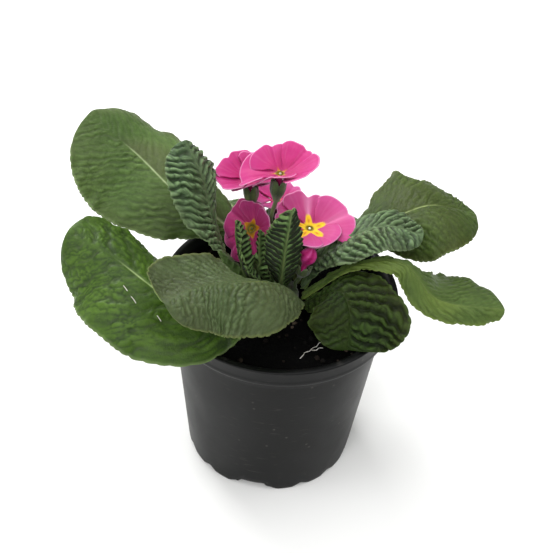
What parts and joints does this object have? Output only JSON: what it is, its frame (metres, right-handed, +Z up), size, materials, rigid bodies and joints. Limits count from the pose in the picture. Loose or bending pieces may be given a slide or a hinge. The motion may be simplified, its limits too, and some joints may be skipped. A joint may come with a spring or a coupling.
{
  "type": "potted primrose",
  "caption": "Flowering primrose in a round tapered nursery pot: a spreading rosette of broad puckered leaves round a tuft of pink five-petalled flowers.",
  "frame": {"origin": "centre of the pot's underside, on the resting plane", "axes": "+Z up along the pot's axis; -Y towards the viewer's side, where the front leaf bends over the rim; +X to the viewer's right, along the rosette's widest spread"},
  "size_m": [0.1944, 0.1319, 0.1576],
  "materials": {
    "pot_plastic": "satin, finely scratched",
    "compost": "crumbly, damp",
    "crown_tissue": "matte, fibrous",
    "leaf": "puckered, softly hairy, semi-matte",
    "young_leaf": "finely crumpled, semi-matte",
    "petal": "velvety",
    "flower_stalk": "softly hairy, matte"
  },
  "bodies": {
    "root": {"pot": "pot_plastic", "soil": "compost", "crown": "crown_tissue", "leaf_back_left": "leaf", "leaf_upright_left": "leaf", "leaf_low_left": "leaf", "leaf_front": "leaf", "leaf_low_right": "leaf", "leaf_arch_right": "leaf", "leaf_mid_right": "leaf", "leaf_back_right": "leaf", "leaf_rear_left": "leaf", "leaf_rear": "leaf", "leaf_rear_right": "leaf", "leaf_young_centre": "young_leaf", "leaf_young_left": "young_leaf", "leaf_young_right": "young_leaf", "flower_top_left": "petal", "flower_top_right": "petal", "flower_left": "petal", "flower_right": "petal", "flower_rear": "petal", "flower_bud": "petal", "stalk_top_left": "flower_stalk", "stalk_top_right": "flower_stalk", "stalk_left": "flower_stalk", "stalk_right": "flower_stalk", "stalk_rear": "flower_stalk", "stalk_bud": "flower_stalk"}
  },
  "joints": []
}
